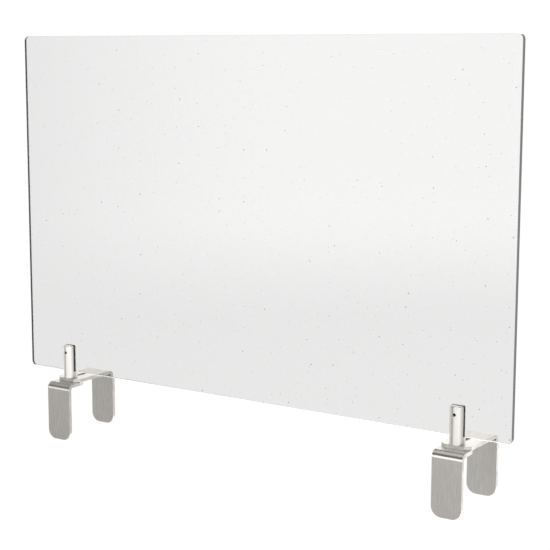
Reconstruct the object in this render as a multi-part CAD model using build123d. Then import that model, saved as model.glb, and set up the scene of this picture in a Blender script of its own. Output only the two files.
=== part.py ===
"""Clear desk privacy panel that stands on top of a low partition, held by two adjustable saddle clamps.

Frame: +X along the sheet, -Y towards the front (the side with the set screws), +Z up.
The origin is midway between the clamps, in the sheet's middle plane, on the plane that rests on the partition.
Each clamp is a front angle bracket, a rear angle bracket that slides on it, a slotted post that holds the
sheet, a nylon-tipped set screw in the post, and one countersunk screw that ties the stack together from below.
"""
from build123d import *
import os

# Clear sheet
SHEET_WIDTH = 736.6
SHEET_HEIGHT = 457.2
SHEET_THICKNESS = 6.35
SHEET_CORNER_RADIUS = 6.35
SHEET_EDGE_BREAK = 0.2

# Angle brackets, bent from flat strip
CLAMP_SPACING = 598.0
STRIP_WIDTH = 39.0
STRIP_THICKNESS = 4.76
LEG_HEIGHT = 78.3
LEG_CORNER_RADIUS = 12.7
INSIDE_BEND_RADIUS = 3.4
BRACKET_EDGE_BREAK = 0.25
FRONT_LEG_FACE_Y = -25.5
FRONT_PLATE_TIP_Y = 15.5
FRONT_PLATE_CORNER_RADIUS = 19.0
REAR_LEG_FACE_Y = 70.0
REAR_PLATE_TIP_Y = -8.5
REAR_PLATE_CORNER_CUT = 6.6

# How far the rear bracket slides in towards the front one
CLAMP_TRAVEL = 27.5

# Slotted post
POST_DIAMETER = 19.05
POST_HEIGHT = 46.0
POST_TOP_CHAMFER = 0.9
POST_FOOT_CHAMFER = 0.3
SHEET_SEAT_ABOVE_FOOT = 9.9
SHEET_SLOT_WIDTH = SHEET_THICKNESS + 0.4

# Clamp screw: M6 countersunk, driven from below with a hex key
CLAMP_SCREW_RADIUS = 2.95
CLAMP_SCREW_LENGTH = 16.0
CLAMP_SCREW_HEAD_RADIUS = 5.8
CLAMP_SCREW_HEAD_LAND = 0.3
CLAMP_SCREW_RECESS = 0.25
CLAMP_SCREW_KEY_SIZE = 4.0
CLAMP_SCREW_KEY_DEPTH = 2.0
CLAMP_SCREW_HOLE_RADIUS = 3.3
SCREW_END_CHAMFER = 0.5
COUNTERSINK_CLEARANCE = 0.1
THREAD_CLEARANCE = 0.05
TAPPED_HOLE_DEPTH = 9.0

# Set screw: M4, driven from the front, with a nylon tip that nips the sheet
SET_SCREW_RADIUS = 1.95
SET_SCREW_LENGTH = 4.0
SET_SCREW_BELOW_TOP = 10.0
SET_SCREW_KEY_SIZE = 2.0
SET_SCREW_KEY_DEPTH = 1.8
SET_SCREW_END_CHAMFER = 0.25
TIP_GAP_TO_SHEET = 0.1
TIP_RADIUS = 1.6
TIP_THICKNESS = 0.8
TIP_STUD_RADIUS = 0.9
TIP_STUD_LENGTH = 1.2

# Heights that follow from the stack of two plates under the post
REAR_PLATE_TOP_Z = 2 * STRIP_THICKNESS
SHEET_BOTTOM_Z = REAR_PLATE_TOP_Z + SHEET_SEAT_ABOVE_FOOT
POST_TOP_Z = REAR_PLATE_TOP_Z + POST_HEIGHT
SET_SCREW_Z = POST_TOP_Z - SET_SCREW_BELOW_TOP
OVERCUT = 5.0
LENGTH_TOLERANCE = 0.01
ON_BASE = (Align.CENTER, Align.CENTER, Align.MIN)


def upright_cylinder(radius, low_z, high_z):
    """A cylinder about Z between two heights."""
    return Pos(0, 0, low_z) * Cylinder(radius, high_z - low_z, align=ON_BASE)


def front_to_back_cylinder(radius, front_y, back_y):
    """A cylinder along +Y between two depths, at the set screw's height."""
    rod = Cylinder(radius, back_y - front_y, align=ON_BASE)
    return Pos(0, front_y, SET_SCREW_Z) * Rot(-90, 0, 0) * rod


def hex_prism(key_size, depth):
    """A hexagonal key socket's shape, standing on the XY plane."""
    return extrude(RegularPolygon(key_size / 2, 6, major_radius=False), amount=depth)


def clear_panel():
    """The clear sheet, with rounded corners and lightly broken polished edges."""
    outline = RectangleRounded(SHEET_WIDTH, SHEET_HEIGHT, SHEET_CORNER_RADIUS)
    middle_z = SHEET_BOTTOM_Z + SHEET_HEIGHT / 2
    sheet = Pos(0, 0, middle_z) * Rot(90, 0, 0) * extrude(outline, amount=SHEET_THICKNESS / 2, both=True)
    rims = sheet.faces().sort_by(Axis.Y)[0].edges() + sheet.faces().sort_by(Axis.Y)[-1].edges()
    return chamfer(rims, SHEET_EDGE_BREAK)


def angle_bracket(leg_face_y, tip_y, top_z, trim, trim_size):
    """A strip bent to an L: a flat plate, and a leg hanging from one end of it.

    The corners of the plate's free tip are trimmed by fillet or chamfer.
    """
    inward = 1 if tip_y > leg_face_y else -1
    inner_y = leg_face_y + inward * STRIP_THICKNESS
    under_z = top_z - STRIP_THICKNESS
    foot_z = top_z - LEG_HEIGHT
    corners = [
        (leg_face_y, top_z),
        (tip_y, top_z),
        (tip_y, under_z),
        (inner_y, under_z),
        (inner_y, foot_z),
        (leg_face_y, foot_z),
    ]
    profile = make_face(Polyline(*corners, close=True))
    outer_corner = profile.vertices().sort_by_distance((leg_face_y, top_z))[0]
    profile = fillet(outer_corner, INSIDE_BEND_RADIUS + STRIP_THICKNESS)
    inner_corner = profile.vertices().sort_by_distance((inner_y, under_z))[0]
    profile = fillet(inner_corner, INSIDE_BEND_RADIUS)
    bent_strip = extrude(Plane.YZ * profile, amount=STRIP_WIDTH / 2, both=True)

    foot_edges = bent_strip.edges().filter_by(Axis.Y).group_by(Axis.Z)[0]
    bent_strip = fillet(foot_edges, LEG_CORNER_RADIUS)

    plan_length = abs(leg_face_y - tip_y) + OVERCUT
    plan = Pos(0, tip_y - inward * plan_length / 2) * Rectangle(STRIP_WIDTH, plan_length)
    tip_corners = plan.vertices().sort_by(Axis.Y, reverse=inward > 0)[:2]
    plan = trim(tip_corners, trim_size)
    plan_prism = Pos(0, 0, foot_z - OVERCUT) * extrude(plan, amount=LEG_HEIGHT + 2 * OVERCUT)
    bracket = bent_strip & plan_prism

    faces_across = bracket.faces().filter_by(Axis.Y) + bracket.faces().filter_by(Axis.Z)
    rim_edges = [edge for face in faces_across for edge in face.edges() if not is_bend_line(edge)]
    upright_edges = bracket.edges().filter_by(Axis.Z)
    return fillet(rim_edges + upright_edges, BRACKET_EDGE_BREAK)


def is_bend_line(edge):
    """A straight edge right across the strip, where a flat face runs smoothly into the bend."""
    return edge.geom_type == GeomType.LINE and abs(edge.length - STRIP_WIDTH) < LENGTH_TOLERANCE


def front_bracket():
    """The lower bracket, with a countersunk hole for the clamp screw in its plate."""
    bracket = angle_bracket(
        FRONT_LEG_FACE_Y,
        FRONT_PLATE_TIP_Y,
        STRIP_THICKNESS,
        fillet,
        FRONT_PLATE_CORNER_RADIUS,
    )
    hole = upright_cylinder(CLAMP_SCREW_HOLE_RADIUS, -OVERCUT, STRIP_THICKNESS + OVERCUT)
    land_radius = CLAMP_SCREW_HEAD_RADIUS + COUNTERSINK_CLEARANCE
    land_top = CLAMP_SCREW_RECESS + CLAMP_SCREW_HEAD_LAND
    land = upright_cylinder(land_radius, -OVERCUT, land_top)
    cone_height = land_radius - CLAMP_SCREW_HOLE_RADIUS
    cone = Cone(land_radius, CLAMP_SCREW_HOLE_RADIUS, cone_height, align=ON_BASE)
    return bracket - hole - land - Pos(0, 0, land_top) * cone


def rear_bracket():
    """The upper bracket, with a slot along its plate so that it slides past the clamp screw."""
    bracket = angle_bracket(
        REAR_LEG_FACE_Y,
        REAR_PLATE_TIP_Y,
        REAR_PLATE_TOP_Z,
        chamfer,
        REAR_PLATE_CORNER_CUT,
    )
    slot_centres = CLAMP_TRAVEL + CLAMP_SCREW_HOLE_RADIUS - CLAMP_SCREW_RADIUS
    slot = SlotCenterToCenter(slot_centres, 2 * CLAMP_SCREW_HOLE_RADIUS, rotation=90)
    slot_prism = extrude(slot, amount=STRIP_THICKNESS + 2 * OVERCUT)
    return bracket - Pos(0, slot_centres / 2, STRIP_THICKNESS - OVERCUT) * slot_prism


def post():
    """The round post, slotted from the top for the sheet, tapped for the set screw and the clamp screw."""
    shaft = upright_cylinder(POST_DIAMETER / 2, REAR_PLATE_TOP_Z, POST_TOP_Z)
    shaft = chamfer(shaft.edges().sort_by(Axis.Z)[-1], POST_TOP_CHAMFER)
    shaft = chamfer(shaft.edges().sort_by(Axis.Z)[0], POST_FOOT_CHAMFER)
    slot_depth = POST_TOP_Z - SHEET_BOTTOM_Z + OVERCUT
    slot_size = (POST_DIAMETER + 2 * OVERCUT, SHEET_SLOT_WIDTH, slot_depth)
    slot = Pos(0, 0, SHEET_BOTTOM_Z) * Box(*slot_size, align=ON_BASE)
    foot_hole_radius = CLAMP_SCREW_RADIUS + THREAD_CLEARANCE
    foot_hole_top_z = REAR_PLATE_TOP_Z + TAPPED_HOLE_DEPTH
    foot_hole = upright_cylinder(foot_hole_radius, REAR_PLATE_TOP_Z - OVERCUT, foot_hole_top_z)
    front_hole = front_to_back_cylinder(SET_SCREW_RADIUS + THREAD_CLEARANCE, -POST_DIAMETER, 0)
    return shaft - slot - foot_hole - front_hole


def clamp_screw():
    """The countersunk screw, driven from under the front bracket up into the post."""
    head_low_z = CLAMP_SCREW_RECESS
    land_top_z = head_low_z + CLAMP_SCREW_HEAD_LAND
    cone_height = CLAMP_SCREW_HEAD_RADIUS - CLAMP_SCREW_RADIUS
    shank = upright_cylinder(CLAMP_SCREW_RADIUS, head_low_z, head_low_z + CLAMP_SCREW_LENGTH)
    shank = chamfer(shank.edges().sort_by(Axis.Z)[-1], SCREW_END_CHAMFER)
    land = upright_cylinder(CLAMP_SCREW_HEAD_RADIUS, head_low_z, land_top_z)
    cone = Cone(CLAMP_SCREW_HEAD_RADIUS, CLAMP_SCREW_RADIUS, cone_height, align=ON_BASE)
    socket = Pos(0, 0, head_low_z) * hex_prism(CLAMP_SCREW_KEY_SIZE, CLAMP_SCREW_KEY_DEPTH)
    return shank + land + Pos(0, 0, land_top_z) * cone - socket


def set_screw_depths():
    """Where the set screw's driven end, its nose and its nylon tip's working face lie along Y."""
    tip_face_y = -SHEET_THICKNESS / 2 - TIP_GAP_TO_SHEET
    nose_y = tip_face_y - TIP_THICKNESS
    return nose_y - SET_SCREW_LENGTH, nose_y, tip_face_y


def set_screw():
    """The headless screw in the post's front wall, with a key socket and a bore for the tip's stud."""
    driven_y, nose_y, _ = set_screw_depths()
    body = front_to_back_cylinder(SET_SCREW_RADIUS, driven_y, nose_y)
    rims = body.edges().sort_by(Axis.Y)
    body = chamfer([rims[0], rims[-1]], SET_SCREW_END_CHAMFER)
    key_shape = hex_prism(SET_SCREW_KEY_SIZE, SET_SCREW_KEY_DEPTH)
    socket = Pos(0, driven_y, SET_SCREW_Z) * Rot(-90, 0, 0) * key_shape
    stud_bore_y = nose_y - TIP_STUD_LENGTH - THREAD_CLEARANCE
    stud_bore = front_to_back_cylinder(TIP_STUD_RADIUS + THREAD_CLEARANCE, stud_bore_y, nose_y)
    return body - socket - stud_bore


def set_screw_tip():
    """The nylon tip that bears on the sheet, with a stud that turns in the screw's nose."""
    _, nose_y, tip_face_y = set_screw_depths()
    pad = front_to_back_cylinder(TIP_RADIUS, nose_y, tip_face_y)
    stud = front_to_back_cylinder(TIP_STUD_RADIUS, nose_y - TIP_STUD_LENGTH, nose_y)
    return pad + stud


def clamp_pieces():
    """One clamp's pieces, centred on X = 0."""
    return {
        "front_bracket": front_bracket(),
        "rear_bracket": rear_bracket(),
        "post": post(),
        "set_screw": set_screw(),
        "set_screw_tip": set_screw_tip(),
        "clamp_screw": clamp_screw(),
    }


def all_pieces():
    """Every node of the object by name, in place."""
    pieces = {"clear_panel": clear_panel()}
    for side, x in (("left", -CLAMP_SPACING / 2), ("right", CLAMP_SPACING / 2)):
        for name, solid in clamp_pieces().items():
            pieces[f"{side}_{name}"] = Pos(x, 0, 0) * solid
    return pieces


os.makedirs("parts", exist_ok=True)
for node, solid in all_pieces().items():
    export_step(solid, f"parts/{node}.step")
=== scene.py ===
"""Looks for the clear desk privacy panel, around the fixed CAD frame, in metres.

Every CAD node keeps its shape and gets a material. Around them are a soft white studio and the camera.
"""
import math
from typing import NamedTuple

import bpy
from mathutils import Matrix, Vector

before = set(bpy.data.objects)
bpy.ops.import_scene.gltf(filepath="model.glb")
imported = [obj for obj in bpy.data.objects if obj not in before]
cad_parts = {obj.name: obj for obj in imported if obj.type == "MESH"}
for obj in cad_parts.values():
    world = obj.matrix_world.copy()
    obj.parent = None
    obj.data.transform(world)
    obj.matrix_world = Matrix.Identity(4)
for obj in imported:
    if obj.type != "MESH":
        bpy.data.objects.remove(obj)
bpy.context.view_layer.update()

# The white surround that the eye sees, and the dim, slightly warm studio that reflections see
SURROUND = 1.02
DIM_STUDIO = 0.12
LIGHT_TINT = (1.0, 0.985, 0.965)


class StudioLight(NamedTuple):
    """A far soft light, even over its half width and half height, and faded to nothing across its feathers.

    Angles are in degrees: the azimuth from the front (-Y) towards +X, the elevation above level.
    """

    azimuth: float
    half_width: float
    feather_sideways: float
    elevation: float
    half_height: float
    feather_upright: float
    radiance: float


STUDIO_LIGHTS = {
    "front": StudioLight(5.0, 36.0, 18.0, 5.0, 11.0, 5.0, 1.85),
    "right side": StudioLight(85.0, 36.0, 20.0, 0.0, 30.0, 20.0, 0.45),
    "bounce off the floor in front": StudioLight(18.0, 46.0, 30.0, -26.0, 13.0, 9.0, 0.50),
    "back left": StudioLight(-119.0, 41.0, 16.0, 8.0, 14.0, 16.0, 1.42),
    "back right": StudioLight(160.0, 12.0, 14.0, 0.0, 30.0, 20.0, 1.3),
    "overhead": StudioLight(-90.0, 150.0, 29.0, 90.0, 32.0, 11.0, 0.8),
    "bounce off the floor behind": StudioLight(-160.0, 40.0, 25.0, -45.0, 14.0, 10.0, 1.2),
}

# A wide floor, one partition height below the clamps' seats
FLOOR_BELOW_SEATS = 1.2
FLOOR_HALF_WIDTH = 40.0

# The camera: a long lens in front and to the right, looking a little down
CAMERA_PLACE = (1.0211, -1.4360, 0.4558)
CAMERA_TURN_LEFT = math.radians(34.24)
CAMERA_LOOK_DOWN = math.radians(8.90)
CAMERA_LEAN = math.radians(0.131)
FOCAL_LENGTH_MM = 93.1
SENSOR_WIDTH_MM = 36.0


# ---------------------------------------------------------------- node helpers


class Graph:
    """A material's or world's node tree, with short calls to add and join nodes."""

    def __init__(self, owner):
        owner.use_nodes = True
        self.tree = owner.node_tree
        self.tree.nodes.clear()

    def node(self, kind, **settings):
        made = self.tree.nodes.new(kind)
        for name, value in settings.items():
            setattr(made, name, value)
        return made

    def join(self, source, target):
        self.tree.links.new(source, target)

    def feed(self, socket, value):
        """Sets a socket to a number or colour, or joins it to another node's output."""
        if isinstance(value, bpy.types.NodeSocket):
            self.join(value, socket)
        else:
            socket.default_value = value

    def math(self, operation, *values):
        made = self.node("ShaderNodeMath", operation=operation)
        for socket, value in zip(made.inputs, values):
            self.feed(socket, value)
        return made.outputs[0]

    def remap(self, value, low, high, to_low, to_high, smooth=False):
        made = self.node("ShaderNodeMapRange", clamp=True)
        made.interpolation_type = "SMOOTHSTEP" if smooth else "LINEAR"
        for socket, each in zip(made.inputs, (value, low, high, to_low, to_high)):
            self.feed(socket, each)
        return made.outputs[0]

    def mix_colour(self, share, first, second):
        made = self.node("ShaderNodeMix", data_type="RGBA")
        self.feed(made.inputs[0], share)
        self.feed(made.inputs[6], first)
        self.feed(made.inputs[7], second)
        return made.outputs[2]

    def noise(self, scale_xyz, detail=2.0, roughness=0.5):
        """Noise in object space, with its own scale, in features per metre, along each axis."""
        place = self.node("ShaderNodeTexCoord").outputs["Object"]
        stretch = self.node("ShaderNodeMapping")
        self.join(place, stretch.inputs["Vector"])
        stretch.inputs["Scale"].default_value = scale_xyz
        made = self.node("ShaderNodeTexNoise")
        self.join(stretch.outputs[0], made.inputs["Vector"])
        made.inputs["Scale"].default_value = 1.0
        made.inputs["Detail"].default_value = detail
        made.inputs["Roughness"].default_value = roughness
        return made.outputs[0]

    def bump(self, height, distance, strength):
        made = self.node("ShaderNodeBump")
        self.join(height, made.inputs["Height"])
        made.inputs["Distance"].default_value = distance
        made.inputs["Strength"].default_value = strength
        return made.outputs[0]


def new_material(name):
    """A material with one Principled shader; returns the material, its graph and the shader's inputs."""
    material = bpy.data.materials.new(name)
    graph = Graph(material)
    shader = graph.node("ShaderNodeBsdfPrincipled")
    output = graph.node("ShaderNodeOutputMaterial")
    graph.join(shader.outputs[0], output.inputs[0])
    return material, graph, shader.inputs


# ---------------------------------------------------------------- materials


def specks(graph, place, per_metre, largest):
    """Round specks scattered over X and Z, with radii of up to the largest, in metres. 1 inside a speck."""
    favour_small = 1.3
    flat_place = graph.node("ShaderNodeCombineXYZ")
    for source, target in zip(("X", "Z"), flat_place.inputs):
        graph.feed(target, graph.math("MULTIPLY", place.outputs[source], per_metre))
    cells = graph.node("ShaderNodeTexVoronoi", voronoi_dimensions="2D", feature="F1")
    graph.join(flat_place.outputs[0], cells.inputs["Vector"])
    cells.inputs["Scale"].default_value = 1.0
    dice = graph.node("ShaderNodeSeparateColor")
    graph.join(cells.outputs["Color"], dice.inputs[0])
    share_of_largest = graph.math("POWER", dice.outputs[0], favour_small)
    size = graph.math("MULTIPLY", share_of_largest, largest * per_metre)
    return graph.math("LESS_THAN", cells.outputs["Distance"], size)


def clear_acrylic():
    """Clear cast sheet, faintly smoky, with dust specks on its front face and finely sawn edges; the side
    edges and the top edge carry painted shade, a dark, partly opaque colour.
    """
    material, graph, shader = new_material("clear_acrylic")
    face_tint = (0.820, 0.819, 0.818, 1.0)
    bottom_edge_tint = (0.92, 0.92, 0.91, 1.0)
    # Painted shade: the side edges are painted near black, for the darkness that clear edges show when seen
    # aslant
    side_edge_painted_shade = (0.045, 0.048, 0.044, 1.0)
    # Painted shade: the top edge is painted a darker grey than the bottom edge
    top_edge_painted_shade = (0.60, 0.61, 0.60, 1.0)
    speck_colour = (0.05, 0.045, 0.04, 1.0)
    # Painted shade: how opaque the dark painted side edges and the darker painted top edge are
    side_edge_painted_shade_solidity, top_edge_painted_shade_solidity = 0.95, 0.7
    middle_z = 0.25

    normal = graph.node("ShaderNodeNewGeometry").outputs["True Normal"]
    facing = graph.node("ShaderNodeSeparateXYZ")
    graph.join(normal, facing.inputs[0])
    on_edge = graph.remap(graph.math("ABSOLUTE", facing.outputs["Y"]), 0.5, 0.9, 1.0, 0.0)
    on_side_edge = graph.remap(graph.math("ABSOLUTE", facing.outputs["X"]), 0.3, 0.8, 0.0, 1.0)

    place = graph.node("ShaderNodeSeparateXYZ")
    graph.join(graph.node("ShaderNodeTexCoord").outputs["Object"], place.inputs[0])
    coarse = specks(graph, place, per_metre=30.0, largest=0.00068)
    fine = specks(graph, place, per_metre=72.0, largest=0.0004)
    on_front = graph.math("LESS_THAN", place.outputs["Y"], 0.0)
    speck = graph.math("MULTIPLY", graph.math("MAXIMUM", coarse, fine), on_front)
    speck = graph.math("MULTIPLY", speck, graph.math("SUBTRACT", 1.0, on_edge))

    # Painted shade: the long edge in the upper half, the top edge, is painted darker and made partly opaque
    in_upper_half = graph.math("GREATER_THAN", place.outputs["Z"], middle_z)
    top_painted_shade_share = graph.math("MULTIPLY", graph.math("MULTIPLY", on_edge, in_upper_half), top_edge_painted_shade_solidity)
    # The long edges: clear at the bottom, with painted shade on the top edge
    long_edge_tint_and_painted_shade = graph.mix_colour(top_painted_shade_share, bottom_edge_tint, top_edge_painted_shade)
    # The edges' tint, with painted shade on the side edges
    edge_tint = graph.mix_colour(on_side_edge, long_edge_tint_and_painted_shade, side_edge_painted_shade)
    tint = graph.mix_colour(on_edge, face_tint, edge_tint)
    graph.feed(shader["Base Color"], graph.mix_colour(speck, tint, speck_colour))
    # Painted shade: the side edges are made nearly opaque so their dark painted colour shows
    side_painted_shade_share = graph.math("MULTIPLY", on_side_edge, side_edge_painted_shade_solidity)
    # The sheet is opaque in the dust specks and where the edges carry painted shade
    dust_and_painted_shade_share = graph.math("MAXIMUM", graph.math("MAXIMUM", speck, side_painted_shade_share), top_painted_shade_share)
    graph.feed(shader["Transmission Weight"], graph.math("SUBTRACT", 1.0, dust_and_painted_shade_share))
    saw_marks = graph.noise((40.0, 2500.0, 40.0), detail=3.0)
    smear = graph.noise((5.0, 5.0, 3.0), detail=2.0)
    face_roughness = graph.remap(smear, 0.4, 0.7, 0.0, 0.006)
    edge_roughness = graph.remap(saw_marks, 0.3, 0.7, 0.04, 0.14)
    graph.feed(shader["Roughness"], graph.remap(on_edge, 0.0, 1.0, face_roughness, edge_roughness))
    shader["IOR"].default_value = 1.49
    return material


def brushed_steel():
    """Bright strip, brushed along its length with short fine scratches: the grain crosses X everywhere."""
    material, graph, shader = new_material("brushed_steel")
    hair = graph.noise((2600.0, 70.0, 70.0), detail=4.0, roughness=0.7)
    scratch = graph.noise((1100.0, 34.0, 34.0), detail=3.0, roughness=0.6)
    cloud = graph.noise((60.0, 45.0, 45.0), detail=3.0)
    grain = graph.math("MULTIPLY_ADD", hair, 0.6, graph.math("MULTIPLY", scratch, 0.4))
    light, dark = (0.81, 0.79, 0.765, 1.0), (0.59, 0.58, 0.56, 1.0)
    dull = (0.66, 0.645, 0.62, 1.0)
    worn = graph.mix_colour(graph.remap(grain, 0.38, 0.62, 0.0, 1.0), dark, light)
    patchy = graph.mix_colour(graph.remap(cloud, 0.35, 0.65, 0.0, 0.5), worn, dull)
    graph.feed(shader["Base Color"], patchy)
    graph.feed(shader["Roughness"], graph.remap(grain, 0.3, 0.7, 0.36, 0.24))
    graph.feed(shader["Normal"], graph.bump(grain, 0.00004, 0.3))
    shader["Metallic"].default_value = 1.0
    shader["Anisotropic"].default_value = 0.85
    tangent = graph.node("ShaderNodeCombineXYZ")
    tangent.inputs[0].default_value = 1.0
    graph.join(tangent.outputs[0], shader["Tangent"])
    return material


def turned_steel():
    """Satin turned post: very fine rings round Z."""
    material, graph, shader = new_material("turned_steel")
    rings = graph.noise((20.0, 20.0, 5200.0), detail=3.0, roughness=0.6)
    cloud = graph.noise((90.0, 90.0, 60.0), detail=2.0)
    light, dark = (0.91, 0.90, 0.88, 1.0), (0.81, 0.80, 0.78, 1.0)
    ringed = graph.mix_colour(graph.remap(rings, 0.35, 0.65, 0.0, 1.0), dark, light)
    cloudy = graph.remap(cloud, 0.3, 0.7, 0.0, 0.3)
    graph.feed(shader["Base Color"], graph.mix_colour(cloudy, ringed, dark))
    graph.feed(shader["Roughness"], graph.remap(rings, 0.3, 0.7, 0.34, 0.42))
    graph.feed(shader["Normal"], graph.bump(rings, 0.00002, 0.25))
    shader["Metallic"].default_value = 1.0
    return material


def screw_metal(name, light, dark, low_roughness, high_roughness):
    """Finished screw steel with a faintly mottled surface."""
    material, graph, shader = new_material(name)
    mottle = graph.noise((900.0, 900.0, 900.0), detail=4.0, roughness=0.6)
    mottled = graph.remap(mottle, 0.35, 0.65, 0.0, 1.0)
    graph.feed(shader["Base Color"], graph.mix_colour(mottled, dark, light))
    graph.feed(shader["Roughness"], graph.remap(mottle, 0.3, 0.7, low_roughness, high_roughness))
    graph.feed(shader["Normal"], graph.bump(mottle, 0.00003, 0.3))
    shader["Metallic"].default_value = 1.0
    return material


def natural_nylon():
    """Off-white nylon with a soft, slightly waxy surface."""
    material, graph, shader = new_material("natural_nylon")
    mottle = graph.noise((700.0, 700.0, 700.0), detail=3.0)
    light, dark = (0.86, 0.85, 0.80, 1.0), (0.76, 0.75, 0.69, 1.0)
    mottled = graph.remap(mottle, 0.35, 0.65, 0.0, 1.0)
    graph.feed(shader["Base Color"], graph.mix_colour(mottled, dark, light))
    graph.feed(shader["Roughness"], graph.remap(mottle, 0.3, 0.7, 0.38, 0.5))
    graph.feed(shader["Normal"], graph.bump(mottle, 0.00003, 0.2))
    shader["Subsurface Weight"].default_value = 0.1
    return material


def dress(node, material):
    """Gives a carried-over CAD node its material."""
    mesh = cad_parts[node].data
    mesh.materials.clear()
    mesh.materials.append(material)


def dress_everything():
    steel, post_steel, nylon = brushed_steel(), turned_steel(), natural_nylon()
    black = screw_metal("black_oxide", (0.11, 0.11, 0.115, 1.0), (0.05, 0.05, 0.052, 1.0), 0.35, 0.5)
    zinc = screw_metal("bright_zinc", (0.66, 0.67, 0.69, 1.0), (0.52, 0.53, 0.55, 1.0), 0.25, 0.38)
    dress("clear_panel", clear_acrylic())
    for side in ("left", "right"):
        dress(f"{side}_front_bracket", steel)
        dress(f"{side}_rear_bracket", steel)
        dress(f"{side}_post", post_steel)
        dress(f"{side}_set_screw", black)
        dress(f"{side}_set_screw_tip", nylon)
        dress(f"{side}_clamp_screw", zinc)


# ---------------------------------------------------------------- studio


def straight_share(graph):
    """1 for a ray that has reached here from the camera without a reflection, 0 for any other."""
    path = graph.node("ShaderNodeLightPath")
    bounces = graph.math("ADD", path.outputs["Glossy Depth"], path.outputs["Diffuse Depth"])
    return graph.math("LESS_THAN", bounces, 0.5)


def soft_light(graph, direction, light):
    """A studio light's radiance in a direction."""
    level = graph.node("ShaderNodeVectorMath", operation="MULTIPLY")
    graph.join(direction, level.inputs[0])
    level.inputs[1].default_value = (1.0, 1.0, 0.0)
    bearing = graph.node("ShaderNodeVectorMath", operation="NORMALIZE")
    graph.join(level.outputs[0], bearing.inputs[0])
    middle = math.radians(light.azimuth)
    nearness = graph.node("ShaderNodeVectorMath", operation="DOT_PRODUCT")
    graph.join(bearing.outputs[0], nearness.inputs[0])
    nearness.inputs[1].default_value = (math.sin(middle), -math.cos(middle), 0.0)
    inner = math.cos(math.radians(light.half_width))
    outer = math.cos(math.radians(light.half_width + light.feather_sideways))
    sideways = graph.remap(nearness.outputs["Value"], outer, inner, 0.0, 1.0, smooth=True)

    upward = graph.node("ShaderNodeSeparateXYZ")
    graph.join(direction, upward.inputs[0])
    elevation = graph.math("ARCSINE", upward.outputs["Z"])
    rise = graph.math("ABSOLUTE", graph.math("SUBTRACT", elevation, math.radians(light.elevation)))
    rim = math.radians(light.half_height)
    faded = math.radians(light.half_height + light.feather_upright)
    upright = graph.remap(rise, rim, faded, 1.0, 0.0, smooth=True)
    return graph.math("MULTIPLY", graph.math("MULTIPLY", sideways, upright), light.radiance)


def studio_world():
    """A plain white surround to the eye. Reflections see a dim studio with large soft lights in it."""
    world = bpy.data.worlds.new("studio")
    bpy.context.scene.world = world
    graph = Graph(world)
    direction = graph.node("ShaderNodeTexCoord").outputs["Generated"]
    radiance = DIM_STUDIO
    for light in STUDIO_LIGHTS.values():
        radiance = graph.math("ADD", radiance, soft_light(graph, direction, light))
    lit = graph.node("ShaderNodeCombineColor")
    for channel, tint in zip(lit.inputs, LIGHT_TINT):
        graph.feed(channel, graph.math("MULTIPLY", radiance, tint))
    white = (SURROUND, SURROUND, SURROUND, 1.0)
    background = graph.node("ShaderNodeBackground")
    graph.join(graph.mix_colour(straight_share(graph), lit.outputs[0], white), background.inputs["Color"])
    graph.join(background.outputs[0], graph.node("ShaderNodeOutputWorld").inputs[0])


def floor():
    """A plain floor, as bright as the surround. Reflections miss it, and it can't be seen from beneath."""
    signs = ((-1, -1), (1, -1), (1, 1), (-1, 1))
    corners = [(x * FLOOR_HALF_WIDTH, y * FLOOR_HALF_WIDTH, -FLOOR_BELOW_SEATS) for x, y in signs]
    mesh = bpy.data.meshes.new("floor")
    mesh.from_pydata(corners, [], [(0, 1, 2, 3)])
    plane = bpy.data.objects.new("floor", mesh)
    bpy.context.scene.collection.objects.link(plane)
    material = bpy.data.materials.new("pale_floor")
    graph = Graph(material)
    glow = graph.node("ShaderNodeEmission")
    glow.inputs["Strength"].default_value = SURROUND
    seen = graph.node("ShaderNodeMixShader")
    backfacing = graph.node("ShaderNodeNewGeometry").outputs["Backfacing"]
    from_above = graph.math("SUBTRACT", 1.0, backfacing)
    graph.join(graph.math("MULTIPLY", straight_share(graph), from_above), seen.inputs[0])
    graph.join(graph.node("ShaderNodeBsdfTransparent").outputs[0], seen.inputs[1])
    graph.join(glow.outputs[0], seen.inputs[2])
    graph.join(seen.outputs[0], graph.node("ShaderNodeOutputMaterial").inputs[0])
    mesh.materials.append(material)


# ---------------------------------------------------------------- camera


def camera():
    """Frames the whole panel."""
    ahead = Vector((
        -math.sin(CAMERA_TURN_LEFT) * math.cos(CAMERA_LOOK_DOWN),
        math.cos(CAMERA_TURN_LEFT) * math.cos(CAMERA_LOOK_DOWN),
        -math.sin(CAMERA_LOOK_DOWN),
    ))
    level_right = Vector((math.cos(CAMERA_TURN_LEFT), math.sin(CAMERA_TURN_LEFT), 0.0))
    level_up = level_right.cross(ahead)
    right = math.cos(CAMERA_LEAN) * level_right + math.sin(CAMERA_LEAN) * level_up
    up = right.cross(ahead)
    lens = bpy.data.cameras.new("camera")
    lens.lens = FOCAL_LENGTH_MM
    lens.sensor_width = SENSOR_WIDTH_MM
    lens.clip_start, lens.clip_end = 0.05, 200.0
    made = bpy.data.objects.new("camera", lens)
    axes = Matrix((right, up, -ahead)).transposed().to_4x4()
    made.matrix_world = Matrix.Translation(CAMERA_PLACE) @ axes
    bpy.context.scene.collection.objects.link(made)
    bpy.context.scene.camera = made


bpy.context.scene.view_settings.view_transform = "Standard"
camera()
dress_everything()
studio_world()
floor()
